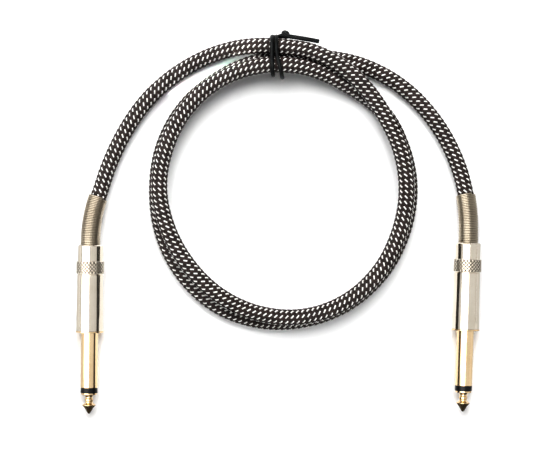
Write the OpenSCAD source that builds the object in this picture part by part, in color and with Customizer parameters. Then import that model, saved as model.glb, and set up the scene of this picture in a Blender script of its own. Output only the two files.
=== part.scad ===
// Instrument cable: a braided cable coiled in two turns, with a straight 6.35 mm plug on each end.
// Millimetres. +X right, +Y towards the top of the coil, +Z up. The cable lies on the plane Z = 0.

/* [Plug contacts] */
// Diameter of the sleeve contact
sleeve_d = 6.35; // [6.3:0.01:6.4]
// Length of the bare sleeve contact
sleeve_len = 20.7; // [18:0.1:22]
// Length of the black ring between sleeve and tip
ring_len = 2; // [1:0.1:2.5]
// Length of the tip contact in front of the ring
tip_len = 7.8; // [7.4:0.1:9]
// Widest part of the tip's arrow head
tip_d = 5.2; // [4.8:0.1:5.6]

/* [Plug shell] */
// Length of the shell
shell_len = 32.3; // [30:0.1:36]
// Outer diameter of the shell at the flange
shell_front_d = 10.1; // [9.8:0.1:10.2]
// Outer diameter of the shell in front of the knurled band
shell_waist_d = 9.6; // [9.4:0.1:9.8]
// Outer diameter of the knurled band
knurl_d = 10.3; // [9.9:0.1:10.4]
// Length of the knurled band
knurl_len = 4.8; // [3:0.1:6]
// Outer diameter of the shell behind the knurled band
shell_rear_d = 9.3; // [9.2:0.1:9.4]
// Length of the shell behind the knurled band
shell_rear_len = 6.1; // [5:0.1:7]
// Diameter of the thin flange that the shell screws up to
flange_d = 10.4; // [10.3:0.1:10.8]
// Thickness of the flange
flange_t = 0.5; // [0.4:0.1:1]

/* [Shell thread] */
// Outer diameter of the threaded boss
thread_d = 7.9; // [7.7:0.1:7.9]
// Rise of the thread in one turn
thread_pitch = 0.75; // [0.5:0.05:0.8]
// Turns from tight to nearly off
thread_turns = 6; // [4:1:6]
// Radial play of the thread
thread_play = 0.05; // [0.03:0.01:0.1]

/* [Strain spring] */
// Outer diameter of the spring
spring_d = 7.4; // [7.2:0.1:7.4]
// Diameter of the spring wire
spring_wire = 0.4; // [0.3:0.05:0.45]
// Length of spring that shows behind the shell
spring_len = 18.2; // [14:0.1:20]
// Angle that the left spring bends through
left_bend = 19; // [0:1:22]
// Angle that the right spring bends through
right_bend = 12; // [0:1:16]

/* [Cable] */
// Diameter of the braided cable
cable_d = 6.2; // [5.6:0.1:6.2]

/* [Twist tie] */
// Thickness of the coated wire
tie_wire = 1.5; // [1:0.1:1.5]
// Width of the two wraps together
tie_width = 3; // [2:0.1:4]

/* [Hidden] */
$fn = 64;
eps = 0.01;

// Colours
gold = [0.90, 0.72, 0.42];
nickel = [0.86, 0.83, 0.76];
steel = [0.66, 0.62, 0.55];
black_plastic = [0.06, 0.06, 0.06];
copper = [0.80, 0.45, 0.28];
solder = [0.75, 0.75, 0.74];
milky = [0.88, 0.86, 0.80];
braid_dark = [0.13, 0.11, 0.11];

// Where each plug lies: point of its tip, and how far its rear end leans to the right
left_tip = [-71.1, -71.6];
left_lean = 0.6;
right_tip = [69.1, -70.8];
right_lean = 1.9;
plug_z = flange_d / 2;
// Which way each spring bends: 0 to the right, 90 down, 180 to the left
left_bend_way = 18;
right_bend_way = 150;

// Stations along the plug's axis, from the point of the tip
ring_at = tip_len;
sleeve_at = ring_at + ring_len;
flange_at = sleeve_at + sleeve_len;
shell_at = flange_at + flange_t;
boss_len = thread_turns * thread_pitch + 1;
boss_end = shell_at + boss_len;
shell_end = shell_at + shell_len;
knurl_at = shell_end - shell_rear_len - knurl_len;

// Inside of the plug
rod_d = 1.8;
rod_hole_d = 1.9;
insulator_d = 4.4;
sleeve_bore_d = 4.5;
lug_t = 0.5;
washer_d = 6;
washer_t = 0.8;
tip_lug_at = boss_end + lug_t + washer_t;
rivet_end = tip_lug_at + lug_t + 0.5;
lug_tongue_y = -1.3;
lug_tongue_len = 5;
lug_band_d = 7;
lug_band_t = 0.5;
clamp_at = shell_at + 19;
clamp_len = 3.5;
jacket_at = shell_at + 16.5;
core_d = 1.8;
core_wire_d = 0.7;
pigtail_d = 1.2;

// Cavity of the shell, the lip round the spring, and the loose liner
cavity_d = 8.5;
lip_len = 1.4;
lip_hole_d = spring_d + 0.6;
liner_d = 8.2;
liner_wall = 0.4;
liner_at = boss_end + 1.5;
liner_len = 16.5;
spring_seat_d = 8.2;
spring_seat_len = 2;
spring_seat_at = shell_end - lip_len - spring_seat_len - 0.2;

// The spring and the cable in it: straight for a little behind the shell, then one even bend
bend_at = shell_end + 1.7;
bend_len = spring_len - 1.7;
// A straight length runs this far into the bend, and the spring and the cable step here
lap = 0.3;
fit_step = 0.1;
gripped_d = cable_d - 0.25;
function bend_radius(bend) = bend_len / (bend * PI / 180);

// Coil: centre, and the cable's route from the left plug to the right one.
// Each station is [degrees turned clockwise from the left of the coil, distance from its centre, height].
coil_centre = [2, 12.4];
ROUTE = [
    // left tail, rising on to the third pass at the tie
    [8, 66.3, 3.55], [20, 63.6, 3.2], [35, 61.2, 3.15], [48, 59.2, 3.3],
    [60, 57.5, 4.5], [70, 56, 6.6], [80, 54.4, 8.8], [90, 53, 10.1],
    // first pass, over the two lower ones and down the right side on top
    [100, 52.4, 10.7], [110, 51.2, 10.8], [120, 49.8, 10.6], [130, 48.2, 10.1],
    [142, 46.7, 9.6], [160, 45.9, 9.4], [180, 45.7, 9.4], [200, 45.8, 9.4],
    [220, 46.8, 9.4], [240, 47.7, 9.5], [260, 47.9, 9.4], [280, 47.2, 9.1],
    [300, 46.3, 8.5], [320, 45.5, 8.5], [340, 45.6, 9], [360, 46.4, 9.4],
    [380, 46.6, 9.4], [400, 47.1, 9.4], [415, 47.3, 9.5], [430, 47.1, 9.9],
    // second pass, down to the floor inside the first
    [450, 46.4, 10.1], [460, 46.2, 9.2], [470, 45.9, 7.4], [480, 45.8, 5.5],
    [490, 46.4, 4.1], [502, 47.4, 3.3], [520, 47.3, 3.15], [540, 47.4, 3.15],
    [560, 47.5, 3.15], [580, 48.2, 3.15], [600, 48.9, 3.15], [620, 49.4, 3.15],
    [640, 50, 3.15], [660, 50.2, 3.15], [680, 49.4, 3.15], [700, 48.4, 3.15],
    [720, 47.7, 3.15], [740, 48.1, 3.15], [760, 48.4, 3.15], [780, 48.4, 3.25],
    // third pass, lifted by the tie below it, and the right tail
    [795, 49, 3.8], [810, 49.7, 4.7], [820, 50.7, 4.2], [830, 52.5, 3.5],
    [840, 54.8, 3.2], [850, 57, 3.15], [862, 59.6, 3.15], [875, 62.3, 3.2],
    [888, 65.2, 3.5]
];
CABLE_RINGS = 64;
CABLE_SIDES = 12;

// Twist tie: where the wraps are and what they hold
tie_x = -0.9;
tie_top = [coil_centre.y + 53, 10.1];
tie_inner = [coil_centre.y + 46.4, 10.1];
tie_low = [coil_centre.y + 49.7, 4.7];
tie_knot = [2.7, 70.3, 10];
tie_free_end = [15.2, 68.4, 8.2];
tie_short_end = [0.9, 54.4, 7];

// ---- small helpers -------------------------------------------------------------------------------

// Points of an arc in a profile: centre, radius, first and last angle
function arc(centre, r, from, to, steps = 8) =
    [for (i = [0 : steps]) let (a = from + (to - from) * i / steps) centre + r * [cos(a), sin(a)]];

// Turned solid: profile points are [radius, station]
module turned(profile) {
    rotate_extrude($fn = 96) polygon(profile);
}

// Round bar or tube between two stations
module bar(d, from, to, hole = 0) {
    difference() {
        translate([0, 0, from]) cylinder(d = d, h = to - from);
        if (hole > 0) translate([0, 0, from - 1]) cylinder(d = hole, h = to - from + 2);
    }
}

// Part of a tube, centred on the side that faces down
module band(outer_d, wall, from, to, sweep) {
    translate([0, 0, from])
        rotate([0, 0, 90 - sweep / 2])
            rotate_extrude(angle = sweep)
                translate([outer_d / 2 - wall, 0]) square([wall, to - from]);
}

// Puts a plug built along +Z, point of the tip at the origin, on the floor with its rear towards +Y
module lay_plug(tip, lean) {
    translate([tip.x, tip.y, plug_z]) rotate([0, 0, -lean]) rotate([-90, 0, 0]) children();
}

// Sweeps a 2D shape along the bend behind the shell
module bent(bend, way) {
    r = bend_radius(bend);
    translate([0, 0, bend_at])
        rotate([0, 0, way])
            translate([r, 0, 0])
                rotate([90, 0, 0])
                    rotate([0, 0, 180 - bend])
                        rotate_extrude(angle = bend) translate([r, 0]) children();
}

// ---- one plug ------------------------------------------------------------------------------------

module tip_contact() {
    head_at = 3.4;
    neck_r = 1.35;
    bead_r = 1.6;
    collar_r = sleeve_d / 2 - 0.18;
    color(gold) {
        turned(concat(
            [[0, 0]],
            arc([0, 0.5], 0.5, -80, -30, 4),
            [[tip_d / 2 - 0.15, head_at - 0.3]],
            arc([tip_d / 2 - 0.2, head_at], 0.2, -30, 60, 4),
            [[1.75, head_at + 0.6], [neck_r + 0.05, head_at + 0.9]],
            arc([bead_r - 1, 5.1], 1, -40, 40, 8),
            [[neck_r, 5.95], [neck_r, 6.15]],
            arc([neck_r + 1.5, 6.15], 1.5, 180, 130, 6),
            [[collar_r - 0.25, tip_len - 0.6], [collar_r, tip_len - 0.45], [collar_r, tip_len], [0, tip_len]]
        ));
        bar(rod_d, tip_len - eps, rivet_end - 0.4);
        bar(rod_d + 1, tip_lug_at + lug_t, rivet_end);
    }
}

module tip_insulator() {
    ring_r = sleeve_d / 2;
    color(black_plastic) difference() {
        union() {
            turned([
                [0, ring_at], [ring_r - 0.15, ring_at], [ring_r, ring_at + 0.15],
                [ring_r, sleeve_at - 0.1], [ring_r - 0.1, sleeve_at], [0, sleeve_at]
            ]);
            bar(insulator_d, sleeve_at - eps, boss_end);
        }
        bar(rod_hole_d, ring_at - 1, boss_end + 1);
    }
}

module sleeve_contact() {
    relief = 0.3;
    color(gold) difference() {
        turned([
            [0, sleeve_at], [sleeve_d / 2 - 0.15, sleeve_at], [sleeve_d / 2, sleeve_at + 0.15],
            [sleeve_d / 2, flange_at], [flange_d / 2 - 0.1, flange_at], [flange_d / 2, flange_at + 0.1],
            [flange_d / 2, shell_at], [thread_d / 2 - relief, shell_at],
            [thread_d / 2 - relief, shell_at + 0.8], [thread_d / 2, shell_at + 1],
            [thread_d / 2, boss_end - 0.2], [thread_d / 2 - 0.2, boss_end], [0, boss_end]
        ]);
        bar(sleeve_bore_d, sleeve_at - 1, boss_end + 1);
    }
}

module rear_insulator() {
    color([0.45, 0.28, 0.16])
        bar(washer_d, boss_end + lug_t, boss_end + lug_t + washer_t, rod_hole_d);
}

module tip_lug() {
    color(solder) {
        bar(4.4, tip_lug_at, tip_lug_at + lug_t, rod_hole_d);
        difference() {
            translate([-1.1, lug_tongue_y - 0.9, tip_lug_at]) cube([2.2, 0.4, lug_tongue_len]);
            translate([0, lug_tongue_y, tip_lug_at + lug_tongue_len - 1.2])
                rotate([90, 0, 0]) cylinder(d = 1, h = 4, center = true);
        }
    }
}

module ground_lug() {
    color(solder) {
        bar(lug_band_d - 0.2, boss_end, boss_end + lug_t, sleeve_bore_d);
        band(lug_band_d, lug_band_t, boss_end, clamp_at + eps, 70);
        band(lug_band_d, lug_band_t, clamp_at, clamp_at + clamp_len, 300);
    }
}

module tip_solder() {
    color(solder)
        translate([0, lug_tongue_y + 0.15, tip_lug_at + lug_tongue_len - 1.2])
            sphere(r = 0.75, $fn = 32);
}

module ground_solder() {
    color(solder) translate([0, 2.5, jacket_at - 2.9]) sphere(r = 0.45, $fn = 32);
}

module core_wire() {
    color(copper)
        hull() {
            translate([0, lug_tongue_y + 1.1, tip_lug_at + lug_tongue_len - 1.4])
                cylinder(d = core_wire_d, h = 0.1, $fn = 16);
            translate([0, 0, jacket_at - 3.1]) cylinder(d = core_wire_d, h = 0.1, $fn = 16);
        }
}

module core_insulation() {
    color(milky) bar(core_d, jacket_at - 3, jacket_at);
}

module shield_pigtail() {
    color(copper) hull() {
        translate([0, 1.85, jacket_at - 0.1]) cylinder(d = pigtail_d, h = 0.1, $fn = 24);
        translate([0, 1.95, jacket_at - 2.3]) cylinder(d = pigtail_d, h = 0.1, $fn = 24);
    }
}

module cable_end(bend, way) {
    color(braid_dark) {
        bar(gripped_d, jacket_at, bend_at + lap);
        bent(bend, way) circle(d = cable_d);
    }
}

module liner() {
    color(black_plastic)
        bar(liner_d, liner_at, liner_at + liner_len, liner_d - 2 * liner_wall);
}

module shell() {
    thread_hole_r = thread_d / 2 + thread_play;
    groove = 0.15;
    color(nickel) difference() {
        turned([
            [0, shell_at], [shell_front_d / 2 - 0.15, shell_at], [shell_front_d / 2, shell_at + 0.2],
            [shell_waist_d / 2, knurl_at - 0.5], [shell_waist_d / 2 - groove, knurl_at - 0.3],
            [shell_waist_d / 2 - groove, knurl_at],
            [knurl_d / 2 - 0.25, knurl_at], [knurl_d / 2, knurl_at + 0.25],
            [knurl_d / 2, knurl_at + knurl_len - 0.25], [knurl_d / 2 - 0.25, knurl_at + knurl_len],
            [shell_rear_d / 2, knurl_at + knurl_len],
            [shell_rear_d / 2, shell_end - 0.4], [shell_rear_d / 2 - 0.4, shell_end], [0, shell_end]
        ]);
        turned([
            [0, shell_at - 1], [thread_hole_r, shell_at - 1], [thread_hole_r, boss_end + 0.5],
            [cavity_d / 2, boss_end + 0.8], [cavity_d / 2, shell_end - lip_len],
            [lip_hole_d / 2, shell_end - lip_len], [lip_hole_d / 2, shell_end + 1], [0, shell_end + 1]
        ]);
    }
}

module strain_spring(bend, way) {
    bore_d = spring_d - 2 * spring_wire;
    color(steel) difference() {
        union() {
            bar(spring_seat_d, spring_seat_at, spring_seat_at + spring_seat_len);
            bar(spring_d, spring_seat_at, bend_at + lap);
            bent(bend, way) circle(d = spring_d - fit_step);
        }
        bar(bore_d, spring_seat_at - 1, bend_at + lap);
        bent(bend, way) circle(d = bore_d - fit_step);
    }
}

// ---- the cable -----------------------------------------------------------------------------------

// A point of the plug's own frame (bend plane first) in the part's frame
function plug_point(tip, lean, side, down, along) = [
    tip.x + side * cos(lean) + along * sin(lean),
    tip.y - side * sin(lean) + along * cos(lean),
    plug_z - down
];
// Middle of the spring's mouth, and the way that the cable leaves it
function mouth(tip, lean, bend, way) =
    let (out = bend_radius(bend) * (1 - cos(bend)))
    plug_point(tip, lean, out * cos(way), out * sin(way), bend_at + bend_radius(bend) * sin(bend));
function mouth_way(lean, bend, way) =
    let (side = sin(bend) * cos(way), along = cos(bend))
    [side * cos(lean) + along * sin(lean), -side * sin(lean) + along * cos(lean), -sin(bend) * sin(way)];

// The same place as a route station
function station(p, turns) =
    let (d = [p.x, p.y] - coil_centre) [turns + atan2(d.y, -d.x), norm(d), p.z];

left_mouth = mouth(left_tip, left_lean, left_bend, left_bend_way);
left_way = mouth_way(left_lean, left_bend, left_bend_way);
right_mouth = mouth(right_tip, right_lean, right_bend, right_bend_way);
right_way = mouth_way(right_lean, right_bend, right_bend_way);
route = concat([station(left_mouth, 0)], ROUTE, [station(right_mouth, 1080)]);
last = len(route) - 1;

// Change of distance and height for each degree turned, at a mouth, for a cable running along way
function mouth_slope(s, way) =
    let (out = [-cos(s[0]), sin(s[0])], on = [sin(s[0]), cos(s[0])], speed = s[1] * PI / 180)
    [(way.x * out.x + way.y * out.y), way.z] / (way.x * on.x + way.y * on.y) * speed;
function chord(i) = [route[i][1] - route[i - 1][1], route[i][2] - route[i - 1][2]]
    / (route[i][0] - route[i - 1][0]);
function slope(i) =
    i == 0 ? mouth_slope(route[0], left_way) :
    i == last ? mouth_slope(route[last], -right_way) :
    let (a = route[i][0] - route[i - 1][0], b = route[i + 1][0] - route[i][0])
    (chord(i) * b + chord(i + 1) * a) / (a + b);
function leg(turn, i = 1) = i >= last || route[i][0] >= turn ? i : leg(turn, i + 1);

// Smooth curve through the stations: the point of the cable's axis after so many degrees
function on_route(turn) =
    let (
        i = leg(turn),
        width = route[i][0] - route[i - 1][0],
        t = (turn - route[i - 1][0]) / width,
        a = [route[i - 1][1], route[i - 1][2]],
        b = [route[i][1], route[i][2]],
        rz = a * (2 * t ^ 3 - 3 * t ^ 2 + 1) + slope(i - 1) * width * (t ^ 3 - 2 * t ^ 2 + t)
            + b * (3 * t ^ 2 - 2 * t ^ 3) + slope(i) * width * (t ^ 3 - t ^ 2)
    )
    [coil_centre.x - rz[0] * cos(turn), coil_centre.y + rz[0] * sin(turn), rz[1]];

// One ring of the tube, square to the cable at p
function ring(p, way) =
    let (side = cross(way, [0, 0, 1]) / norm(cross(way, [0, 0, 1])), up = cross(side, way) / norm(way))
    [for (k = [0 : CABLE_SIDES - 1])
        let (a = 360 * (k + 0.5) / CABLE_SIDES)
        p + cable_d / 2 * (cos(a) * side + sin(a) * up)];

module tube(rings) {
    n = len(rings);
    m = CABLE_SIDES;
    polyhedron(
        points = [for (r = rings) each r],
        faces = concat(
            [[for (k = [0 : m - 1]) k]],
            [for (i = [0 : n - 2], k = [0 : m - 1])
                let (a = i * m + k, b = i * m + (k + 1) % m) [b, a, a + m, b + m]],
            [[for (k = [m - 1 : -1 : 0]) (n - 1) * m + k]]
        ),
        convexity = 20
    );
}

module braided_cable() {
    first_turn = route[0][0];
    whole_turn = route[last][0] - first_turn;
    rings = concat(
        [ring(left_mouth, left_way)],
        [for (i = [1 : CABLE_RINGS - 1])
            let (turn = first_turn + whole_turn * i / CABLE_RINGS)
            ring(on_route(turn), on_route(turn + 0.5) - on_route(turn - 0.5))],
        [ring(right_mouth, -right_way)]
    );
    color(braid_dark) tube(rings);
}

// ---- the twist tie -------------------------------------------------------------------------------

// Outline round the three passes, r from the middle of each: [along Y, up]
function wrap_outline(r) = concat(
    arc(tie_top, r, -32, 90), arc(tie_inner, r, 90, 212), arc(tie_low, r, 212, 328)
);

// Straight length of wire between two points
module wire(from, to) {
    way = to - from;
    translate(from)
        rotate([0, acos(way.z / norm(way)), atan2(way.y, way.x)])
            cylinder(d = tie_wire, h = norm(way), $fn = 12);
}

module twist_tie() {
    outside = tie_top.x + cable_d / 2 + tie_wire * 0.7;
    inside = tie_inner.x - cable_d / 2 - tie_wire * 0.7;
    color(black_plastic) {
        translate([tie_x - tie_width / 2, 0, 0])
            rotate([90, 0, 90])
                linear_extrude(tie_width) difference() {
                    polygon(wrap_outline(cable_d / 2 + tie_wire));
                    polygon(wrap_outline(cable_d / 2 + 0.05));
                }
        wire([tie_x + 0.3, outside, tie_top.y], tie_knot);
        wire(tie_knot - [0, 0, tie_wire], tie_knot + [0, 0.4, tie_wire]);
        wire(tie_knot + [0.1, -0.2, -0.1], tie_free_end);
        wire([tie_x + 0.6, inside, tie_inner.y - 1], tie_short_end);
    }
}

// ---- nodes ---------------------------------------------------------------------------------------

module in_left() {
    lay_plug(left_tip, left_lean) children();
}

module in_right() {
    lay_plug(right_tip, right_lean) children();
}

in_left() tip_contact();  // left_tip_contact
in_left() tip_insulator();  // left_tip_insulator
in_left() sleeve_contact();  // left_sleeve_contact
in_left() rear_insulator();  // left_rear_insulator
in_left() tip_lug();  // left_tip_lug
in_left() ground_lug();  // left_ground_lug
in_left() tip_solder();  // left_tip_solder
in_left() ground_solder();  // left_ground_solder
in_left() core_wire();  // left_core_wire
in_left() core_insulation();  // left_core_insulation
in_left() shield_pigtail();  // left_shield_pigtail
in_left() cable_end(left_bend, left_bend_way);  // left_cable_end
in_left() liner();  // left_liner
in_left() shell();  // left_shell
in_left() strain_spring(left_bend, left_bend_way);  // left_strain_spring
in_right() tip_contact();  // right_tip_contact
in_right() tip_insulator();  // right_tip_insulator
in_right() sleeve_contact();  // right_sleeve_contact
in_right() rear_insulator();  // right_rear_insulator
in_right() tip_lug();  // right_tip_lug
in_right() ground_lug();  // right_ground_lug
in_right() tip_solder();  // right_tip_solder
in_right() ground_solder();  // right_ground_solder
in_right() core_wire();  // right_core_wire
in_right() core_insulation();  // right_core_insulation
in_right() shield_pigtail();  // right_shield_pigtail
in_right() cable_end(right_bend, right_bend_way);  // right_cable_end
in_right() liner();  // right_liner
in_right() shell();  // right_shell
in_right() strain_spring(right_bend, right_bend_way);  // right_strain_spring
braided_cable();
twist_tie();
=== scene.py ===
"""An instrument cable in a tied coil, with a 6.35 mm plug on each end.

Lengths here are in mm, but for the camera's height and field, the floor's size, and the lights, which
are in metres. The meshes are in metres too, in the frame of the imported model.
"""

import math

import bpy
import numpy as np
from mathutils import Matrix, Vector


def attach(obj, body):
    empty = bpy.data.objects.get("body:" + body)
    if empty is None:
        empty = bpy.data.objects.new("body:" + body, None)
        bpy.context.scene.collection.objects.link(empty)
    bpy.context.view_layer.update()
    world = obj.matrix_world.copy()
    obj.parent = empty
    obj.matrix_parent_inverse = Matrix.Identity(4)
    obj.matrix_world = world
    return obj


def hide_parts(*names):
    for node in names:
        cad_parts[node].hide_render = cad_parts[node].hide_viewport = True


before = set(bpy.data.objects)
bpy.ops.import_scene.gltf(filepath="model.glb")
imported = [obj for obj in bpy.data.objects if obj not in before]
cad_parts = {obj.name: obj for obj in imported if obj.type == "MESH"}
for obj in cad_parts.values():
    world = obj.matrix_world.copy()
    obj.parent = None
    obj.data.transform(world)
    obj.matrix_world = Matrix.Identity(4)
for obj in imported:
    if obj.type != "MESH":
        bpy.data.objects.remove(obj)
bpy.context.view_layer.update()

MM = 0.001
TAU = 2 * math.pi


# ---- camera ----------------------------------------------------------------------------------------

VIEW_CENTRE = (-4.46, -3.64, 5.2)


def make_camera():
    """A camera looking straight down; height and the width of its field are in metres."""
    height, field = 0.6, 0.1999
    data = bpy.data.cameras.new("camera")
    data.sensor_width = 36
    data.lens = data.sensor_width * height / field
    data.clip_start = 0.01
    camera = bpy.data.objects.new("camera", data)
    camera.location = (VIEW_CENTRE[0] * MM, VIEW_CENTRE[1] * MM, VIEW_CENTRE[2] * MM + height)
    bpy.context.scene.collection.objects.link(camera)
    bpy.context.scene.camera = camera


make_camera()


# ---- the cable's route: the same stations as the CAD model's ---------------------------------------

# Height of the plugs' axes; where a strain spring starts to bend, behind the tip, and how long it bends
PLUG_Z = 5.2
BEND_AT, BEND_LEN = 65.0, 16.5
# Tip point, lean of the plug's axis, and its spring's bend and the way that it goes, in degrees
PLUGS = {
    "left": {"tip": (-71.1, -71.6), "lean": 0.6, "bend": 19, "way": 18},
    "right": {"tip": (69.1, -70.8), "lean": 1.9, "bend": 12, "way": 150},
}
COIL_CENTRE = np.array([2, 12.4])
# Degrees added to the right mouth's angle, so that it follows on from the last station
RIGHT_TURNS = 1080
# Degrees turned clockwise from the left of the coil, distance from its centre, height
ROUTE = [
    [8, 66.3, 3.55], [20, 63.6, 3.2], [35, 61.2, 3.15], [48, 59.2, 3.3],
    [60, 57.5, 4.5], [70, 56, 6.6], [80, 54.4, 8.8], [90, 53, 10.1],
    [100, 52.4, 10.7], [110, 51.2, 10.8], [120, 49.8, 10.6], [130, 48.2, 10.1],
    [142, 46.7, 9.6], [160, 45.9, 9.4], [180, 45.7, 9.4], [200, 45.8, 9.4],
    [220, 46.8, 9.4], [240, 47.7, 9.5], [260, 47.9, 9.4], [280, 47.2, 9.1],
    [300, 46.3, 8.5], [320, 45.5, 8.5], [340, 45.6, 9], [360, 46.4, 9.4],
    [380, 46.6, 9.4], [400, 47.1, 9.4], [415, 47.3, 9.5], [430, 47.1, 9.9],
    [450, 46.4, 10.1], [460, 46.2, 9.2], [470, 45.9, 7.4], [480, 45.8, 5.5],
    [490, 46.4, 4.1], [502, 47.4, 3.3], [520, 47.3, 3.15], [540, 47.4, 3.15],
    [560, 47.5, 3.15], [580, 48.2, 3.15], [600, 48.9, 3.15], [620, 49.4, 3.15],
    [640, 50, 3.15], [660, 50.2, 3.15], [680, 49.4, 3.15], [700, 48.4, 3.15],
    [720, 47.7, 3.15], [740, 48.1, 3.15], [760, 48.4, 3.15], [780, 48.4, 3.25],
    [795, 49, 3.8], [810, 49.7, 4.7], [820, 50.7, 4.2], [830, 52.5, 3.5],
    [840, 54.8, 3.2], [850, 57, 3.15], [862, 59.6, 3.15], [875, 62.3, 3.2],
    [888, 65.2, 3.5],
]


def plug_axes(side):
    """The tip point, and the plug's own sideways, down and rearward directions."""
    plug = PLUGS[side]
    lean = math.radians(plug["lean"])
    return (
        np.array([*plug["tip"], PLUG_Z]),
        np.array([math.cos(lean), -math.sin(lean), 0]),
        np.array([0, 0, -1.0]),
        np.array([math.sin(lean), math.cos(lean), 0]),
    )


def spring_line(side, station):
    """Point and direction on the plug's axis, which bends behind the shell."""
    tip, across, down, back = plug_axes(side)
    bend, way = math.radians(PLUGS[side]["bend"]), math.radians(PLUGS[side]["way"])
    swing = math.cos(way) * across + math.sin(way) * down
    radius = BEND_LEN / bend
    angle = np.clip((np.asarray(station, float) - BEND_AT) / radius, 0, None)[:, None]
    straight = np.minimum(station, BEND_AT)[:, None]
    point = tip + (straight + radius * np.sin(angle)) * back + radius * (1 - np.cos(angle)) * swing
    return point, np.cos(angle) * back + np.sin(angle) * swing


def route_points(count):
    """Points along the free cable, from the left spring's mouth to the right one's.

    Distance and height follow cubics between the stations, and leave each mouth along its spring.
    """
    mouth_at = np.array([BEND_AT + BEND_LEN])
    ends = []
    for side, turns in (("left", 0), ("right", RIGHT_TURNS)):
        point, way = spring_line(side, mouth_at)
        out = point[0, :2] - COIL_CENTRE
        turned = turns + math.degrees(math.atan2(out[1], -out[0]))
        ends.append(([turned, math.hypot(*out), point[0, 2]], way[0]))
    stations = np.array([ends[0][0], *ROUTE, ends[1][0]])
    widths = np.diff(stations[:, 0])
    chords = np.diff(stations[:, 1:], axis=0) / widths[:, None]
    slopes = np.zeros((len(stations), 2))
    before, after = widths[:-1, None], widths[1:, None]
    slopes[1:-1] = (chords[:-1] * after + chords[1:] * before) / (before + after)
    for index, (station, way) in ((0, ends[0]), (-1, (ends[1][0], -ends[1][1]))):
        turned = math.radians(station[0])
        outward = way[1] * math.sin(turned) - way[0] * math.cos(turned)
        onward = way[0] * math.sin(turned) + way[1] * math.cos(turned)
        slopes[index] = np.array([outward, way[2]]) / onward * math.radians(station[1])
    turn = np.linspace(stations[0, 0], stations[-1, 0], count)
    index = np.clip(np.searchsorted(stations[:, 0], turn), 1, len(stations) - 1)
    width = widths[index - 1][:, None]
    t = (turn - stations[index - 1, 0])[:, None] / width
    place = (
        stations[index - 1, 1:] * (2 * t**3 - 3 * t**2 + 1)
        + slopes[index - 1] * width * (t**3 - 2 * t**2 + t)
        + stations[index, 1:] * (3 * t**2 - 2 * t**3)
        + slopes[index] * width * (t**3 - t**2)
    )
    turn = np.radians(turn)
    return np.column_stack([
        COIL_CENTRE[0] - place[:, 0] * np.cos(turn),
        COIL_CENTRE[1] + place[:, 0] * np.sin(turn),
        place[:, 1],
    ])


def unit(vectors):
    return vectors / np.linalg.norm(vectors, axis=-1, keepdims=True)


class Line:
    """A path by the length along it, with an up and a right direction at every point."""

    def __init__(self, points):
        self.points = points
        self.lengths = np.r_[0, np.cumsum(np.linalg.norm(np.diff(points, axis=0), axis=1))]
        self.length = self.lengths[-1]

    def at(self, s):
        point = np.column_stack([np.interp(s, self.lengths, self.points[:, k]) for k in range(3)])
        way = unit(np.gradient(point, axis=0))
        up = unit(np.array([0, 0, 1.0]) - way * way[:, 2:3])
        return point, way, up, np.cross(way, up)


# ---- meshes ----------------------------------------------------------------------------------------

def new_object(name, vertices, faces, uvs, sharp):
    """An object from vertices in mm, shaded smooth but for edges above the sharp angle."""
    mesh = bpy.data.meshes.new(name)
    mesh.from_pydata((np.asarray(vertices) * MM).tolist(), [], faces)
    mesh.validate()
    layer = mesh.uv_layers.new(name="lay")
    layer.data.foreach_set("uv", np.asarray(uvs, float).ravel())
    mesh.polygons.foreach_set("use_smooth", [True] * len(mesh.polygons))
    mesh.set_sharp_from_angle(angle=math.radians(sharp))
    mesh.update()
    thing = bpy.data.objects.new(name, mesh)
    bpy.context.scene.collection.objects.link(thing)
    return thing


def skin(count, sides, first=0, capped=True):
    """Faces over count closed rings of sides points each, and their (around, along) coordinates."""
    i = np.repeat(np.arange(count - 1), sides)
    j = np.tile(np.arange(sides), count - 1)
    k = (j + 1) % sides
    here, following = first + i * sides, first + (i + 1) * sides
    quads = np.column_stack([here + j, here + k, following + k, following + j])
    uvs = np.stack([
        np.column_stack([j / sides, i]), np.column_stack([(j + 1) / sides, i]),
        np.column_stack([(j + 1) / sides, i + 1]), np.column_stack([j / sides, i + 1]),
    ], axis=1).reshape(-1, 2)
    faces = quads.tolist()
    if capped:
        start = list(range(first, first + sides))[::-1]
        end = list(range(first + (count - 1) * sides, first + count * sides))
        faces += [start, end]
        uvs = np.concatenate([uvs, np.full((sides, 2), [0, 0]), np.full((sides, 2), [0, count - 1])])
    return faces, uvs


def mark_painted_shade(thing, values):
    """Stores a painted-shade mask, 0 to 1, for each vertex: how deep it lies between its neighbours,
    where the finish paints shade.
    """
    layer = thing.data.attributes.new("painted_shade", "FLOAT", "POINT")
    layer.data.foreach_set("value", np.asarray(values, np.float32).ravel())
    return thing


def strands(name, tubes, step):
    """One object from several capped tubes, each an array of rings that lie step apart."""
    vertices, faces, uvs, first = [], [], [], 0
    for rings in tubes:
        count, sides = rings.shape[:2]
        tube_faces, tube_uvs = skin(count, sides, first)
        vertices.append(rings.reshape(-1, 3))
        faces += tube_faces
        uvs.append(tube_uvs * [1, step])
        first += count * sides
    return new_object(name, np.concatenate(vertices), faces, np.concatenate(uvs), sharp=60)


def swept(centre, across, outward, section):
    """Rings of a section (n x 2) along a line, in the two directions given at each point."""
    return (
        centre[:, None, :]
        + across[:, None, :] * section[None, :, 0:1]
        + outward[:, None, :] * section[None, :, 1:2]
    )


def angles_round(count):
    return np.arange(count) * TAU / count


def circle(radius, sides):
    angle = angles_round(sides)
    return np.column_stack([np.cos(angle), np.sin(angle)]) * radius


# ---- node materials --------------------------------------------------------------------------------

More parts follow.
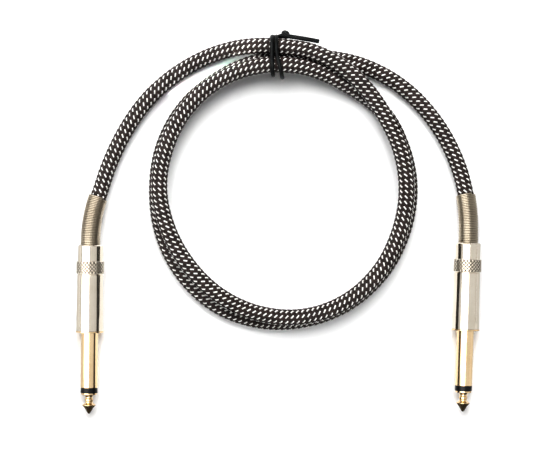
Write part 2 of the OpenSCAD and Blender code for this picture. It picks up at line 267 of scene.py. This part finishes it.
class Paint:
    """A Principled material and the few node wirings that the finishes here share."""

    def __init__(self, name, **sockets):
        self.material = bpy.data.materials.new(name)
        self.material.use_nodes = True
        self.tree = self.material.node_tree
        self.shader = self.tree.nodes["Principled BSDF"]
        for socket, value in sockets.items():
            self.shader.inputs[socket.replace("_", " ")].default_value = value

    def node(self, kind, **settings):
        node = self.tree.nodes.new(kind)
        for key, value in settings.items():
            setattr(node, key, value)
        return node

    def link(self, output, target):
        self.tree.links.new(output, target)

    def place(self, scale=(1, 1, 1), lay=False):
        """Texture coordinates, scaled: the object's own in metres, or the lay round and along a yarn."""
        if lay:
            out = self.node("ShaderNodeUVMap", uv_map="lay").outputs["UV"]
        else:
            out = self.node("ShaderNodeTexCoord").outputs["Object"]
        mapping = self.node("ShaderNodeMapping")
        mapping.inputs["Scale"].default_value = scale
        self.link(out, mapping.inputs["Vector"])
        return mapping.outputs["Vector"]

    def noise(self, vector, scale, detail, roughness=0.55):
        node = self.node("ShaderNodeTexNoise")
        node.inputs["Scale"].default_value = scale
        node.inputs["Detail"].default_value = detail
        node.inputs["Roughness"].default_value = roughness
        self.link(vector, node.inputs["Vector"])
        return node.outputs["Fac"]

    def ramp(self, factor, *stops):
        """A colour from a factor, between stops of (position, colour)."""
        node = self.node("ShaderNodeValToRGB")
        ramp = node.color_ramp
        while len(ramp.elements) < len(stops):
            ramp.elements.new(0.5)
        for element, (position, colour) in zip(ramp.elements, stops):
            element.position = position
            element.color = (*colour, 1)
        self.link(factor, node.inputs["Fac"])
        return node.outputs["Color"]

    def between(self, factor, low, high):
        """A value from low to high as the factor goes from 0 to 1."""
        node = self.node("ShaderNodeMapRange")
        node.inputs["To Min"].default_value = low
        node.inputs["To Max"].default_value = high
        self.link(factor, node.inputs["Value"])
        return node.outputs["Result"]

    def add_painted_shade(self, colour, shade_tone):
        """Paints shade: turns to the shade tone where the mesh's painted-shade mask is set."""
        painted_shade = self.node("ShaderNodeAttribute", attribute_name="painted_shade")
        shade = self.node("ShaderNodeMix", data_type="RGBA")
        shade.inputs["B"].default_value = (*shade_tone, 1)
        self.link(painted_shade.outputs["Fac"], shade.inputs["Factor"])
        self.link(colour, shade.inputs["A"])
        return shade.outputs["Result"]

    def bump(self, height, distance, strength):
        node = self.node("ShaderNodeBump")
        node.inputs["Strength"].default_value = strength
        node.inputs["Distance"].default_value = distance
        self.link(height, node.inputs["Height"])
        return node.outputs["Normal"]

    def finish(self, colour, roughness, normal=None):
        self.link(colour, self.shader.inputs["Base Color"])
        self.link(roughness, self.shader.inputs["Roughness"])
        if normal is not None:
            self.link(normal, self.shader.inputs["Normal"])
        return self.material


# Streaks of fibre round a yarn, and how often they change along it, per mm
FIBRES, FIBRE_CHANGE = 9, 0.55
# How much darker a yarn is painted in its grooves and down its sides, as painted shade
GROOVE_PAINTED_SHADE = 0.3
# Tone of the painted shade at the bottom of a knurl's grooves
KNURL_PAINTED_SHADE = (0.06, 0.047, 0.037)


def yarn_material(name, dark, light, specular, roughness):
    """Textile yarn: streaks of fibre along it, slow drift of tone, and painted shade down its sides and
    in its grooves.
    """
    paint = Paint(name, Specular_IOR_Level=specular)
    strand = paint.noise(paint.place((FIBRES, FIBRE_CHANGE, 1), lay=True), 1.0, 2.0, 0.6)
    drift = paint.noise(paint.place(), 260.0, 2.0)
    mix = paint.node("ShaderNodeMix", data_type="FLOAT")
    mix.inputs[0].default_value = 0.35
    paint.link(strand, mix.inputs[2])
    paint.link(drift, mix.inputs[3])
    colour = paint.ramp(mix.outputs[0], (0.3, dark), (0.7, light))
    # Painted shade: darker where the yarn's section is low, in its groove, at its edges and underneath
    colour = paint.add_painted_shade(colour, [level * GROOVE_PAINTED_SHADE for level in dark])
    return paint.finish(colour, paint.between(strand, roughness - 0.1, roughness + 0.12),
                        paint.bump(strand, 0.06 * MM, 0.6))


def metal_material(name, dark, light, roughness, spread, grain_scale, bump):
    """Plated metal: fine marks, faint clouding, a little uneven gloss, and painted shade where its mesh
    is marked deep.
    """
    paint = Paint(name, Metallic=1.0)
    grain = paint.noise(paint.place(grain_scale), 1.0, 3.0)
    cloud = paint.noise(paint.place(), 90.0, 3.0)
    colour = paint.ramp(cloud, (0.3, dark), (0.7, light))
    # Painted shade: the knurl's grooves turn to the shade tone
    return paint.finish(paint.add_painted_shade(colour, KNURL_PAINTED_SHADE),
                        paint.between(grain, roughness - spread, roughness + spread),
                        paint.bump(grain, bump * MM, 0.5))


def plastic_material(name, dark, light, roughness, bump, scale=900.0, specular=0.5):
    """Moulded or drawn plastic: fine grain, faint clouding, uneven gloss."""
    paint = Paint(name, Specular_IOR_Level=specular)
    grain = paint.noise(paint.place(), scale, 4.0)
    cloud = paint.noise(paint.place(), 160.0, 2.0)
    colour = paint.ramp(cloud, (0.3, dark), (0.7, light))
    return paint.finish(colour, paint.between(grain, roughness - 0.06, roughness + 0.08),
                        paint.bump(grain, bump * MM, 0.4))


def copper_material():
    """Twisted copper strands."""
    paint = Paint("copper_strands", Metallic=1.0)
    wave = paint.node("ShaderNodeTexWave", bands_direction="DIAGONAL")
    wave.inputs["Scale"].default_value = 900
    paint.link(paint.place(), wave.inputs["Vector"])
    colour = paint.ramp(wave.outputs["Fac"], (0.2, (0.42, 0.16, 0.07)), (0.8, (0.86, 0.42, 0.22)))
    return paint.finish(colour, paint.between(wave.outputs["Fac"], 0.45, 0.28),
                        paint.bump(wave.outputs["Fac"], 0.05 * MM, 0.7))


# Darker and lighter tone, then specular level and roughness
BLACK_YARN = ((0.008, 0.006, 0.005), (0.064, 0.046, 0.041), 0.26, 0.33)
WHITE_YARN = ((0.78, 0.76, 0.72), (0.97, 0.96, 0.94), 0.3, 0.5)
# Darker and lighter tone, then roughness, its spread, the marks' scale per metre and depth in mm
GOLD = ((0.88, 0.66, 0.40), (0.96, 0.75, 0.49), 0.16, 0.03, (600, 3500, 600), 0.006)
NICKEL = ((0.76, 0.69, 0.58), (0.84, 0.77, 0.66), 0.13, 0.03, (500, 2500, 500), 0.005)
SPRING_WIRE = ((0.44, 0.38, 0.30), (0.58, 0.52, 0.42), 0.3, 0.06, (1500, 1500, 1500), 0.01)
TINNED = ((0.62, 0.62, 0.60), (0.80, 0.80, 0.78), 0.34, 0.08, (900, 900, 900), 0.02)
SOLDER = ((0.55, 0.55, 0.56), (0.74, 0.74, 0.75), 0.24, 0.08, (700, 700, 700), 0.03)
# Darker and lighter tone, then roughness, the grain's depth in mm, its scale per metre, specular level
CABLE_CORE = ((0.004, 0.004, 0.004), (0.010, 0.009, 0.009), 0.7, 0.05)
BLACK_PLASTIC = ((0.004, 0.004, 0.004), (0.010, 0.010, 0.010), 0.28, 0.01, 900.0, 0.3)
LINER = ((0.012, 0.012, 0.012), (0.024, 0.024, 0.023), 0.42, 0.02)
FIBRE = ((0.10, 0.045, 0.018), (0.22, 0.11, 0.05), 0.6, 0.04, 2400.0)
MILKY = ((0.66, 0.63, 0.56), (0.80, 0.77, 0.70), 0.4, 0.02)
BRAID_END = ((0.006, 0.005, 0.005), (0.030, 0.024, 0.022), 0.6, 0.08, 1500.0)
TIE_PLASTIC = ((0.003, 0.004, 0.004), (0.009, 0.010, 0.010), 0.42, 0.02, 1400.0, 0.22)

MATERIALS = {
    "black_yarn": yarn_material("black_yarn", *BLACK_YARN),
    "white_yarn": yarn_material("white_yarn", *WHITE_YARN),
    "cable_core": plastic_material("cable_core", *CABLE_CORE),
    "gold": metal_material("gold_plate", *GOLD),
    "nickel": metal_material("nickel_plate", *NICKEL),
    "spring": metal_material("spring_wire", *SPRING_WIRE),
    "tinned": metal_material("tinned_stamping", *TINNED),
    "solder": metal_material("solder", *SOLDER),
    "black_plastic": plastic_material("black_plastic", *BLACK_PLASTIC),
    "liner": plastic_material("liner_film", *LINER),
    "fibre": plastic_material("fibre_board", *FIBRE),
    "milky": plastic_material("milky_insulation", *MILKY),
    "jacket": plastic_material("braid_end", *BRAID_END),
    "tie": plastic_material("tie_plastic", *TIE_PLASTIC),
    "copper": copper_material(),
}


def paint(thing, name):
    thing.data.materials.clear()
    thing.data.materials.append(MATERIALS[name])
    return thing


# ---- the free cable: a dark core, eight double yarns one way and eight the other -------------------

CORE_R = 2.32
# Length of one turn of a yarn round the cable, yarns wound each way, and the spacing of their crossings
BRAID_PITCH = 16.4
YARNS = 8
CROSSING = BRAID_PITCH / (2 * YARNS)
SAMPLES_PER_CROSSING = 4
ROUTE_SAMPLES, CORE_RINGS, PATH_POINTS = 9000, 700, 400


def yarn_section(width, thick, aside):
    """A bundle of fibres, rounder on top and laid a little aside; second coordinate outward."""
    across = np.array([0.5, 0.26, -0.26, -0.5, 0]) * width + aside
    return np.column_stack([across, np.array([-0.1, 0.42, 0.42, -0.1, -0.42]) * thick])


def paired_section(width, thick):
    """Two bundles side by side, with a groove between them."""
    across = np.array([0.5, 0.38, 0.13, 0, -0.13, -0.38, -0.5, 0]) * width
    return np.column_stack([across, np.array([-0.1, 0.4, 0.4, 0, 0.4, 0.4, -0.1, -0.45]) * thick])


def yarn(line, hand, index, middle_r, swing, section):
    """One yarn: hand is its winding direction, swing how far it rises over the other yarns."""
    count = int(round(line.length / CROSSING * SAMPLES_PER_CROSSING)) + 1
    s = np.linspace(0, line.length, count)
    point, _, up, right = line.at(s)
    turn = (hand * TAU * s / BRAID_PITCH + TAU * index / YARNS)[:, None]
    wave = np.cos(math.pi * s / CROSSING)
    radius = (middle_r + swing * wave * (1.25 - 0.25 * wave**2))[:, None]
    outward = up * np.cos(turn) + right * np.sin(turn)
    centre = point + outward * radius
    along = unit(np.gradient(centre, axis=0))
    across = unit(np.cross(along, outward))
    outward = np.cross(across, along)
    return swept(centre, across, outward, section)


def make_cable():
    """The core and the yarns laid over it, which together are the one cord."""
    line = Line(route_points(ROUTE_SAMPLES))
    s = np.linspace(0, line.length, CORE_RINGS)
    point, _, up, right = line.at(s)
    tube = swept(point, right, up, circle(CORE_R, 16))
    core = paint(strands("cable_core", [tube], line.length / (CORE_RINGS - 1)), "cable_core")
    pieces = []
    # Winding direction, middle radius, rise over the other yarns, section
    for name, finish, hand, middle, swing, section in (
        ("black_pairs", "black_yarn", 1, 2.6, -0.23, paired_section(1.56, 0.52)),
        ("black_singles", "black_yarn", -1, 2.58, 0.23, yarn_section(0.84, 0.54, -0.38)),
        ("white_singles", "white_yarn", -1, 2.56, 0.25, yarn_section(0.64, 0.52, 0.37)),
    ):
        for half in range(2):
            first = half * YARNS // 2
            tubes = [
                yarn(line, hand, k, middle, swing, section) for k in range(first, first + YARNS // 2)
            ]
            piece = strands(f"{name}_{half + 1}", tubes, CROSSING / SAMPLES_PER_CROSSING)
            paint(piece, finish)
            # Painted-shade mask: 1 at each section's edges, underneath and in a pair's groove, 0 on its
            # top
            low = np.clip(1 - section[:, 1] / section[:, 1].max(), 0, 1)
            mark_painted_shade(piece, np.tile(low, len(piece.data.vertices) // len(low)))
            pieces.append(piece)
    for piece in (core, *pieces):
        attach(piece, "cable")
    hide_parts("braided_cable")


make_cable()


# ---- plugs -----------------------------------------------------------------------------------------

# Stations behind the tip point, and radii, that several pieces share
RING_AT, SLEEVE_AT, SHELL_AT, SHELL_END, BOSS_END, ROD_END = 7.8, 9.8, 31.0, 63.3, 36.5, 42.2
SLEEVE_R, SLEEVE_BORE_R, ROD_R = 3.175, 2.25, 0.9
# The hollow end of a profile stops just short of the axis
AXIS_R = 0.02
SEGMENTS, SHELL_SEGMENTS = 96, 336
KNURL_AT, KNURL_LEN, KNURL_R = 52.4, 4.8, 5.15
# Diamonds round the knurl and along it, rings of vertices for them, and the depth of the grooves
KNURL_AROUND, KNURL_ROWS, KNURL_RINGS, KNURL_CUT = 24, 3.5, 72, 0.2
# Width of a groove's slope, as a share of a diamond, and the full groove's depth before its bottom is
# cut flat, as a share of its real depth
KNURL_SLOPE, KNURL_OVERCUT = 0.155, 1.15


def turned(side, angle, radii, stations):
    """Rings about a plug's axis; each has its own station, and a radius for every angle or for all."""
    tip, across, down, back = plug_axes(side)
    radial = np.cos(angle)[:, None] * across + np.sin(angle)[:, None] * down
    return tip + np.asarray(stations)[:, None, None] * back + np.asarray(radii)[:, :, None] * radial


def lathe(name, side, profile, sharp, closed_profile=True):
    """A turned piece: its profile's points are (radius, station), going round its section."""
    profile = np.asarray(profile, float)
    rings = turned(side, angles_round(SEGMENTS), profile[:, 0:1], profile[:, 1])
    return grid_piece(name, rings, closed_profile, sharp)


def grid_piece(name, rings, closed_profile, sharp):
    """Skins rings of points; a closed profile joins last ring to first, an open one is capped."""
    count, sides = rings.shape[:2]
    vertices = rings.reshape(-1, 3)
    if closed_profile:
        faces, uvs = skin(count + 1, sides, capped=False)
        faces = [[v % (count * sides) for v in face] for face in faces]
    else:
        faces, uvs = skin(count, sides)
    return new_object(name, vertices, faces, uvs, sharp)


def arc(radius_at, station_at, r, start, end, steps):
    """Points of an arc in a profile, by angle in degrees from the radial direction."""
    angles = np.radians(np.linspace(start, end, steps + 1))
    return [(radius_at + r * math.cos(a), station_at + r * math.sin(a)) for a in angles]


def make_tip(side):
    """Point, neck, bead and collar in front of the ring, and the rod that runs back from it."""
    profile = [(AXIS_R, 0.0)]
    profile += arc(0.0, 0.55, 0.55, -75, -32, 5)
    profile += [(1.5, 2.02)]
    profile += arc(2.3, 3.26, 0.2, -35, 75, 6)
    profile += [(2.05, 3.66), (1.7, 3.96)]
    profile += arc(1.86, 4.36, 0.46, 220, 150, 6)
    profile += arc(0.85, 5.2, 0.75, -48, 48, 10)
    profile += arc(1.86, 6.2, 0.52, 218, 140, 6)
    profile += arc(3.05, 6.1, 1.62, 160, 132, 6)
    profile += arc(2.72, 7.42, 0.27, -60, 0, 4)
    profile += [(2.995, RING_AT), (ROD_R, RING_AT), (ROD_R, ROD_END), (AXIS_R, ROD_END)]
    return lathe(f"{side}_tip", side, profile, 24, False)


def make_ring(side):
    """Black ring between tip and sleeve, and its tube round the rod."""
    tube_r, hole_r, edge = 2.2, 0.95, 0.18
    profile = arc(SLEEVE_R - edge, RING_AT + edge, edge, -90, 0, 5)
    profile += arc(SLEEVE_R - edge, SLEEVE_AT - edge, edge, 0, 90, 5)
    profile += [(tube_r, SLEEVE_AT), (tube_r, BOSS_END), (hole_r, BOSS_END), (hole_r, RING_AT)]
    return lathe(f"{side}_insulating_ring", side, profile, 30)


def make_sleeve(side):
    """Bare sleeve, flange and threaded boss, with a real helical ridge on the boss."""
    flange_at, flange_r, edge, fillet = 30.5, 5.2, 0.1, 0.2
    pitch, start, end, root, depth, runout = 0.75, 31.4, 36.1, 3.66, 0.28, 0.3
    front = [(SLEEVE_BORE_R, SLEEVE_AT), (2.9, SLEEVE_AT)]
    front += arc(SLEEVE_R - 0.14, SLEEVE_AT + 0.14, 0.14, -90, 0, 4)
    front += [(SLEEVE_R, flange_at - fillet)]
    front += arc(SLEEVE_R + fillet, flange_at - fillet, fillet, 180, 90, 3)
    front += arc(flange_r - edge, flange_at + edge, edge, -90, 0, 3)
    front += arc(flange_r - edge, SHELL_AT - edge, edge, 0, 90, 3)
    front += [(root, SHELL_AT), (root - 0.02, SHELL_AT + 0.3)]
    rear = [(root - 0.02, BOSS_END - 0.3), (3.45, BOSS_END), (SLEEVE_BORE_R, BOSS_END)]
    angle = angles_round(SEGMENTS)
    stations = np.linspace(start, end, 64)
    phase = (stations[:, None] / pitch - angle[None, :] / TAU) % 1
    fade = np.clip(np.minimum(stations - start, end - stations) / runout, 0, 1)[:, None]
    thread = root + depth * fade * np.clip(1.5 - np.abs(phase - 0.5) * 4, 0, 1)
    radii = [np.full(SEGMENTS, r) for r, _ in front] + list(thread)
    radii += [np.full(SEGMENTS, r) for r, _ in rear]
    places = [z for _, z in front] + list(stations) + [z for _, z in rear]
    return grid_piece(f"{side}_sleeve", turned(side, angle, radii, places), True, 30)


def make_shell(side):
    """Turned shell with a real diamond knurl, bored through for the boss, the liner and the spring."""
    bore_r, chamber_r, groove_r, edge = 4.0, 4.25, 4.66, 0.22
    knurl_end = KNURL_AT + KNURL_LEN
    angle = angles_round(SHELL_SEGMENTS)
    radii, stations, painted_shade = [], [], []

    def add_ring(radius, station, depth):
        radii.append(radius)
        stations.append(station)
        painted_shade.append(depth)

    def add(points):
        for r, z in points:
            add_ring(np.full(SHELL_SEGMENTS, r), z, np.zeros(SHELL_SEGMENTS))

    add([(bore_r, SHELL_AT + 0.05), (bore_r + 0.06, SHELL_AT), (4.85, SHELL_AT)])
    add(arc(4.9, SHELL_AT + 0.15, 0.15, -90, -5, 4))
    add([(5.0, SHELL_AT + 6), (4.93, SHELL_AT + 12), (4.86, SHELL_AT + 17)])
    add(arc(groove_r + 0.08, KNURL_AT - 0.42, 0.1, 5, 80, 3))
    add([(groove_r, KNURL_AT - 0.26), (groove_r, KNURL_AT - 0.06)])
    add(arc(KNURL_R - 0.3, KNURL_AT + edge, edge, -90, -10, 3))
    around = angle / TAU * KNURL_AROUND
    for z in np.linspace(KNURL_AT + 0.26, knurl_end - 0.26, KNURL_RINGS):
        along = (z - KNURL_AT) / KNURL_LEN * KNURL_ROWS
        one_way, other_way = np.abs((around + along) % 1 - 0.5), np.abs((around - along) % 1 - 0.5)
        depth = np.clip(KNURL_OVERCUT - np.minimum(one_way, other_way) / KNURL_SLOPE, 0, 1)
        fade = min(1, min(z - KNURL_AT, knurl_end - z) / 0.45)
        add_ring(KNURL_R - 0.02 - KNURL_CUT * depth * fade, z, depth * fade)
    add(arc(KNURL_R - 0.3, knurl_end - edge, edge, 10, 90, 3))
    add([(groove_r, knurl_end + 0.02)])
    add([(4.65, SHELL_END - 0.5)] + arc(4.53, SHELL_END - 0.46, 0.12, 10, 40, 2))
    add([(4.26, SHELL_END - 0.06)] + arc(4.14, SHELL_END - 0.1, 0.1, 50, 90, 2))
    add([(bore_r + 0.02, SHELL_END), (bore_r, SHELL_END - 0.04)])
    add([(bore_r, SHELL_END - 1.4), (chamber_r, SHELL_END - 1.4), (chamber_r, 37.3), (bore_r, 37.0)])
    rings = turned(side, angle, radii, stations)
    # The grooves' depth is also the mask where the finish paints shade
    return mark_painted_shade(grid_piece(f"{side}_turned_shell", rings, True, 24), np.concatenate(painted_shade))


def make_spring(side):
    """A close-wound wire, from its wide seat inside the shell, through the bend, to its mouth."""
    wire, pitch, mean_r, seat_r = 0.6, 0.62, 3.4, 3.78
    start, seat_end, end = 59.9, 61.9, BEND_AT + BEND_LEN - 0.15
    samples_per_turn = 40
    count = int((end - start) / pitch * samples_per_turn)
    station = np.linspace(start, end, count)
    point, way = spring_line(side, station)
    down = plug_axes(side)[2]
    one = unit(down - way * (way @ down)[:, None])
    two = np.cross(way, one)
    turn = ((station - start) / pitch * TAU)[:, None]
    radius = mean_r + (seat_r - mean_r) * np.clip((seat_end - station) / 0.5, 0, 1)
    outward = one * np.cos(turn) + two * np.sin(turn)
    centre = point + outward * radius[:, None]
    along = unit(np.gradient(centre, axis=0))
    side_way = unit(np.cross(along, outward))
    rings = swept(centre, side_way, np.cross(side_way, along), circle(wire / 2, 7))
    return strands(f"{side}_spring_coil", [rings], 0.5)


def make_plug(side):
    """The pieces that replace their CAD nodes, then the finishes of the nodes that stay."""
    parts = (
        (make_tip, "gold", "gold_plate", "cable", "tip_contact"),
        (make_ring, "black_plastic", "black_plastic", "cable", "tip_insulator"),
        (make_sleeve, "gold", "gold_plate", "cable", "sleeve_contact"),
        (make_shell, "nickel", "nickel_plate", f"{side}_shell", "shell"),
        (make_spring, "spring", "spring_steel", "cable", "strain_spring"),
    )
    for make, finish, slot, body, node in parts:
        piece = paint(make(side), finish)
        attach(piece, body)
        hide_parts(f"{side}_{node}")
    for node, finish in (
        ("rear_insulator", "fibre"), ("tip_lug", "tinned"), ("ground_lug", "tinned"),
        ("tip_solder", "solder"), ("ground_solder", "solder"), ("core_wire", "copper"),
        ("core_insulation", "milky"), ("shield_pigtail", "copper"), ("cable_end", "jacket"),
        ("liner", "liner"),
    ):
        paint(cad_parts[f"{side}_{node}"], finish)


make_plug("left")
make_plug("right")


# ---- twist tie -------------------------------------------------------------------------------------

# Middle of the tie: from the knot's blind end, behind the wraps, twice round the three passes, over the
# inner ones and down
TIE_WRAPS = [
    (2.3, 69.3, 9.2), (1.2, 69.3, 8.6), (-0.2, 69.4, 8.1), (-1.5, 69.3, 8.4), (-2.25, 69.3, 9.6),
    (-2.42, 68.9, 11.4), (-2.44, 67.4, 13.3), (-2.44, 65.4, 14.0), (-2.42, 63.5, 13.5),
    (-2.4, 62.1, 13.1),
    (-2.36, 60.6, 13.5), (-2.3, 58.7, 13.95), (-2.2, 56.7, 13.2), (-2.1, 55.1, 11.6), (-2.0, 54.95, 9.6),
    (-1.95, 56.1, 7.0), (-1.9, 57.9, 4.2), (-1.8, 59.6, 2.0), (-1.7, 61.6, 0.95), (-1.6, 63.4, 1.1),
    (-1.4, 65.0, 2.3), (-1.1, 66.9, 4.6), (-0.9, 68.5, 7.2), (-0.8, 69.3, 9.4), (-0.8, 68.9, 11.4),
    (-0.8, 67.3, 13.3), (-0.8, 65.4, 14.0), (-0.7, 63.5, 13.6), (-0.5, 62.1, 13.2), (-0.2, 60.6, 13.6),
    (0.3, 58.7, 13.95), (0.8, 56.7, 13.3), (1.15, 55.2, 11.9), (1.35, 54.4, 10.2), (1.45, 54.1, 8.4),
]
TIE_FREE_END = [
    (15.1, 67.5, 9.6), (12.4, 67.95, 10.1), (9.6, 68.4, 10.5), (6.6, 68.85, 10.7), (4.6, 69.15, 10.6),
    (3.4, 69.3, 10.8), (2.4, 69.8, 11.0), (1.9, 70.5, 10.3), (2.5, 70.9, 9.3), (3.3, 70.5, 8.9),
    (3.4, 69.6, 9.2), (2.7, 69.2, 10.0), (1.8, 69.6, 10.3), (0.9, 69.5, 9.8), (0.1, 69.3, 9.2),
]
# Spacing of the rings along the tie
TIE_STEP = 0.16


def smooth_line(points):
    """A centripetal Catmull-Rom curve through points."""
    per_span = 14
    points = np.asarray(points, float)
    points = np.vstack([2 * points[0] - points[1], points, 2 * points[-1] - points[-2]])
    out = []
    for a, b, c, d in zip(points, points[1:], points[2:], points[3:]):
        knots = np.cumsum([0, *(np.linalg.norm(q - p) ** 0.5 for p, q in ((a, b), (b, c), (c, d)))])
        t = np.linspace(knots[1], knots[2], per_span, endpoint=False)[:, None]

        def blend(p, q, i, j):
            return ((knots[j] - t) * p + (t - knots[i]) * q) / (knots[j] - knots[i])

        first, second, third = blend(a, b, 0, 1), blend(b, c, 1, 2), blend(c, d, 2, 3)
        out.append(blend(blend(first, second, 0, 2), blend(second, third, 1, 3), 1, 2))
    return np.vstack([*out, points[-2]])


def carried_frames(points):
    """Directions across the line, carried along it without twist."""
    way = unit(np.gradient(points, axis=0))
    across = np.zeros_like(points)
    across[0] = unit(np.cross(way[0], [0, 0, 1.0]))
    for i in range(1, len(points)):
        step = across[i - 1] - way[i] * (across[i - 1] @ way[i])
        across[i] = step / np.linalg.norm(step)
    return across, np.cross(across, way)


def ribbed_tube(points, radius):
    """Rings of a soft round tube with shallow ribs round it and rounded ends."""
    rib_pitch = 0.9
    line = Line(smooth_line(points))
    s = np.linspace(0, line.length, int(line.length / TIE_STEP))
    point = line.at(s)[0]
    across, outward = carried_frames(point)
    ribs = 1 - 0.06 * (0.5 - 0.5 * np.cos(TAU * s / rib_pitch)) ** 3
    ends = 1 - 0.14 * (1 - np.clip(np.minimum(s, line.length - s) / 0.2, 0, 1)) ** 2
    rings = swept(np.zeros_like(point), across, outward, circle(radius, 16))
    return point[:, None, :] + rings * (ribs * ends)[:, None, None]


def make_tie():
    """The tie's wraps and its free end, as one piece."""
    tubes = [ribbed_tube(TIE_WRAPS, 0.76), ribbed_tube(TIE_FREE_END, 0.84)]
    tie = paint(strands("tie_wraps", tubes, TIE_STEP), "tie")
    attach(tie, "cable")
    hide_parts("twist_tie")


make_tie()


# ---- floor and light -------------------------------------------------------------------------------

def make_floor():
    """Matt white paper under the cable."""
    bpy.ops.mesh.primitive_plane_add(size=6, location=(0, 0, -0.2 * MM))
    floor = bpy.context.object
    floor.name = "floor"
    paper = Paint("paper", Specular_IOR_Level=0.1)
    grain = paper.noise(paper.place(), 40.0, 2.0)
    tone = paper.ramp(grain, (0, (0.93, 0.93, 0.93)), (1, (0.95, 0.95, 0.95)))
    floor.data.materials.append(paper.finish(tone, paper.between(grain, 0.8, 0.9)))


def make_world():
    """A dim studio, darker toward the horizon and below it, and the tone of the picture."""
    world = bpy.data.worlds.new("studio")
    bpy.context.scene.world = world
    world.use_nodes = True
    tree = world.node_tree
    background = tree.nodes["Background"]
    coordinates = tree.nodes.new("ShaderNodeTexCoord")
    split = tree.nodes.new("ShaderNodeSeparateXYZ")
    tree.links.new(coordinates.outputs["Generated"], split.inputs["Vector"])
    ramp = tree.nodes.new("ShaderNodeValToRGB")
    low, high = ramp.color_ramp.elements
    low.color = (0.06, 0.057, 0.054, 1)
    high.position, high.color = 0.5, (0.11, 0.11, 0.11, 1)
    tree.links.new(split.outputs["Z"], ramp.inputs["Fac"])
    tree.links.new(ramp.outputs["Color"], background.inputs["Color"])
    bpy.context.scene.view_settings.view_transform = "Standard"
    bpy.context.scene.view_settings.look = "High Contrast"


def card(name, low, high, glow):
    """A card that only reflections see, from low corner to high corner: black, or glowing evenly."""
    side = 1 if low[1] != high[1] else 2
    second, fourth = list(low), list(high)
    second[side], fourth[side] = high[side], low[side]
    corners = [[value * MM for value in corner] for corner in (low, second, high, fourth)]
    mesh = bpy.data.meshes.new(name)
    mesh.from_pydata(corners, [], [(0, 1, 2, 3)])
    flag = bpy.data.objects.new(name, mesh)
    bpy.context.scene.collection.objects.link(flag)
    face = Paint(
        name, Base_Color=(0.004, 0.004, 0.004, 1), Emission_Color=(1, 1, 1, 1), Emission_Strength=glow
    )
    flag.data.materials.append(face.material)
    flag.visible_camera = flag.visible_diffuse = flag.visible_shadow = False


def aimed_light(data, place, target, seen_by):
    """Puts a light in the scene, facing its target, that only gloss or only surfaces see."""
    light = bpy.data.objects.new(data.name, data)
    light.location = place
    light.rotation_euler = (Vector(target) - Vector(place)).to_track_quat("-Z", "Y").to_euler()
    light.visible_glossy = seen_by == "gloss"
    light.visible_diffuse = seen_by == "surfaces"
    light.visible_camera = False
    bpy.context.scene.collection.objects.link(light)
    return light


def panel(name, place, target, size, power, seen_by, spread=180, turned_by=0):
    """A rectangular light; the angles are in degrees."""
    data = bpy.data.lights.new(name, "AREA")
    data.shape = "RECTANGLE"
    data.size, data.size_y = size
    data.energy = power
    data.spread = math.radians(spread)
    light = aimed_light(data, place, target, seen_by)
    light.rotation_euler.rotate_axis("Z", math.radians(turned_by))


def pool_light(name, place, target, spread, power):
    """A soft round pool of light on surfaces."""
    data = bpy.data.lights.new(name, "SPOT")
    data.spot_size = math.radians(spread)
    data.spot_blend = 1.0
    data.shadow_soft_size = 0.12
    data.energy = power
    aimed_light(data, place, target, "surfaces")


make_floor()
make_world()

# The studio that polished metal shows round it: opposite corners in mm, and glow
for name, low, high, glow in (
    ("flag_left", (-18, -90, 8), (-18, 40, 31), 0),
    ("flag_right", (46, -90, 3.5), (46, 40, 16), 0),
    ("grey_left", (-200, -69, 0.5), (-76, 40, 0.5), 0.5),
    ("grey_right", (76, -69, 0.5), (200, 40, 0.5), 0.5),
    ("pale_left", (-65, -69, 0.4), (-20, -8, 0.4), 0.85),
    ("pale_right", (30, -69, 0.4), (65, -8, 0.4), 0.85),
    ("dark_front", (-125, -110, 0.4), (125, -69, 0.4), 0.03),
    ("black_front", (-125, -110, 0.4), (125, -110, 26), 0.01),
    ("tan_beside_left", (-95, -78, 0.5), (-95, -42, 18), 0.62),
    ("tan_beside_right", (93, -78, 0.5), (93, -41, 12), 0.62),
    ("pale_between", (-20, -69, 0.4), (30, -42, 0.4), 0.75),
    ("grey_over_left", (-74, -95, 60), (-18, -3, 60), 0.55),
    ("grey_beside_left", (-18, -95, 31), (-18, -3, 60), 0.5),
    ("grey_beside_right", (46, -95, 16), (46, -3, 29), 0.5),
):
    card(name, low, high, glow)

# Place, point that it faces, size and power of each panel
for name, place, target, size, power, seen_by in (
    ("softbox", (-0.325, 0, 0.535), (-0.04, 0, 0), (1.3, 1.2), 11.9, "gloss"),
    ("right_panel", (0.46, 0, 0.5), (0, 0, 0), (0.9, 0.9), 1.2, "gloss"),
    ("front_panel", (0, -0.95, 0.7), (0, -0.04, 0), (0.5, 1.8), 1.6, "gloss"),
    ("left_low", (-0.86, 0, 0.12), (0, 0, 0.12), (0.9, 0.28), 0.36, "gloss"),
    ("right_low", (0.86, 0, 0.1), (0, 0, 0.1), (0.9, 0.26), 0.31, "gloss"),
    ("key", (-0.07, 0.4, 0.66), (0, 0, 0), (0.6, 0.6), 7.6, "surfaces"),
):
    panel(name, place, target, size, power, seen_by)

pool_light("fill", (0.2, -0.35, 0.5), (0.01, -0.11, 0), 24, 9.4)
# Light that reaches the floor between two passes at the top of the coil
GAP = (-0.0245, 0.0575)
panel("gap_light", (*GAP, 0.11), (*GAP, 0), (0.036, 0.004), 0.0006, "surfaces", spread=3, turned_by=27)
